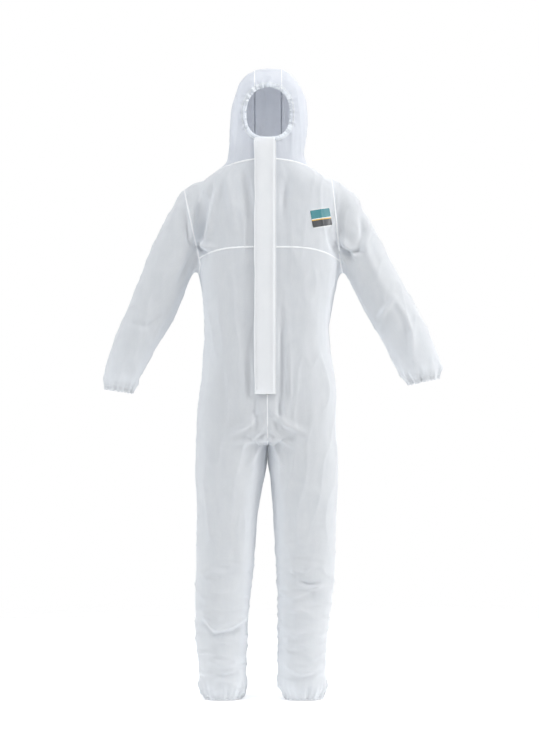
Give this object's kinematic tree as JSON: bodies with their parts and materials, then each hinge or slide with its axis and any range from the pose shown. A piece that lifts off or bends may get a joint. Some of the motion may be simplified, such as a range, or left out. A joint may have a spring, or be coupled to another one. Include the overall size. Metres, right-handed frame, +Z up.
{
  "type": "chemical protective suit",
  "caption": "Hooded disposable coverall for chemical splash and dust, with a zip under a storm flap and elasticated face, cuffs, waist and ankles.",
  "frame": {"origin": "middle of the neck seam, between the shoulders that carry the suit", "axes": "+Z up towards the hood, the wearer faces -Y, +X is the wearer's left"},
  "size_m": [0.932, 0.2559, 1.75],
  "materials": {
    "nonwoven": "matt bonded nonwoven",
    "elastic": "knitted elastic",
    "zip_tape": "woven tape",
    "zip_nylon": "satin nylon coil",
    "zip_slider": "white enamel",
    "zip_stop": "crimped",
    "adhesive": "double-sided tape",
    "release_liner": "siliconised paper",
    "chest_label": "printed film",
    "neck_label": "woven ribbon"
  },
  "bodies": {
    "suit_body": {"yoke_front_left": "nonwoven", "yoke_front_right": "nonwoven", "front_panel_left": "nonwoven", "front_panel_right": "nonwoven", "back_panel_left": "nonwoven", "back_panel_right": "nonwoven", "ankle_elastic_left": "elastic", "ankle_elastic_right": "elastic", "waist_elastic": "elastic", "zip_tape_left": "zip_tape", "zip_tape_right": "zip_tape", "zip_coil_left": "zip_nylon", "zip_coil_right": "zip_nylon", "zip_top_stop_left": "zip_stop", "zip_top_stop_right": "zip_stop", "zip_bottom_stop": "zip_stop", "chest_label": "chest_label", "neck_label": "neck_label"},
    "hood": {"hood_centre_panel": "nonwoven", "hood_side_left": "nonwoven", "hood_side_right": "nonwoven", "hood_face_hem": "nonwoven", "hood_face_elastic": "elastic"},
    "sleeve_left": {"sleeve_left": "nonwoven", "wrist_elastic_left": "elastic"},
    "sleeve_right": {"sleeve_right": "nonwoven", "wrist_elastic_right": "elastic"},
    "storm_flap": {"storm_flap": "nonwoven", "storm_flap_root": "nonwoven", "flap_adhesive_tape": "adhesive", "flap_release_liner": "release_liner"},
    "zip_slider": {"zip_slider": "zip_slider"},
    "zip_pull": {"zip_pull": "zip_slider"}
  },
  "joints": [
    {"name": "hood_fold_back", "type": "hinge", "parent": "suit_body", "child": "hood", "pos_m": [0, 0.0905, 0], "axis": [-1, 0, 0], "range_deg": [0, 45]},
    {"name": "sleeve_left_raise", "type": "hinge", "parent": "suit_body", "child": "sleeve_left", "pos_m": [0.1895, -0.004, -0.06], "axis": [0, -1, 0], "range_deg": [0, 60]},
    {"name": "sleeve_right_raise", "type": "hinge", "parent": "suit_body", "child": "sleeve_right", "pos_m": [-0.1885, -0.004, -0.056], "axis": [0, 1, 0], "range_deg": [0, 60]},
    {"name": "storm_flap_open", "type": "hinge", "parent": "suit_body", "child": "storm_flap", "pos_m": [0.016, -0.1159, -0.28589], "axis": [0, 0.0226, 0.9997], "range_deg": [0, 170]},
    {"name": "zip_slide", "type": "slide", "parent": "suit_body", "child": "zip_slider", "axis": [0, -0.0226, -0.9997], "range_m": [0, 0.68]},
    {"name": "zip_pull_swing", "type": "hinge", "parent": "zip_slider", "child": "zip_pull", "pos_m": [0, -0.10859, 0.05512], "axis": [0, 0.9997, -0.0226], "range_deg": [-25, 50]}
  ]
}
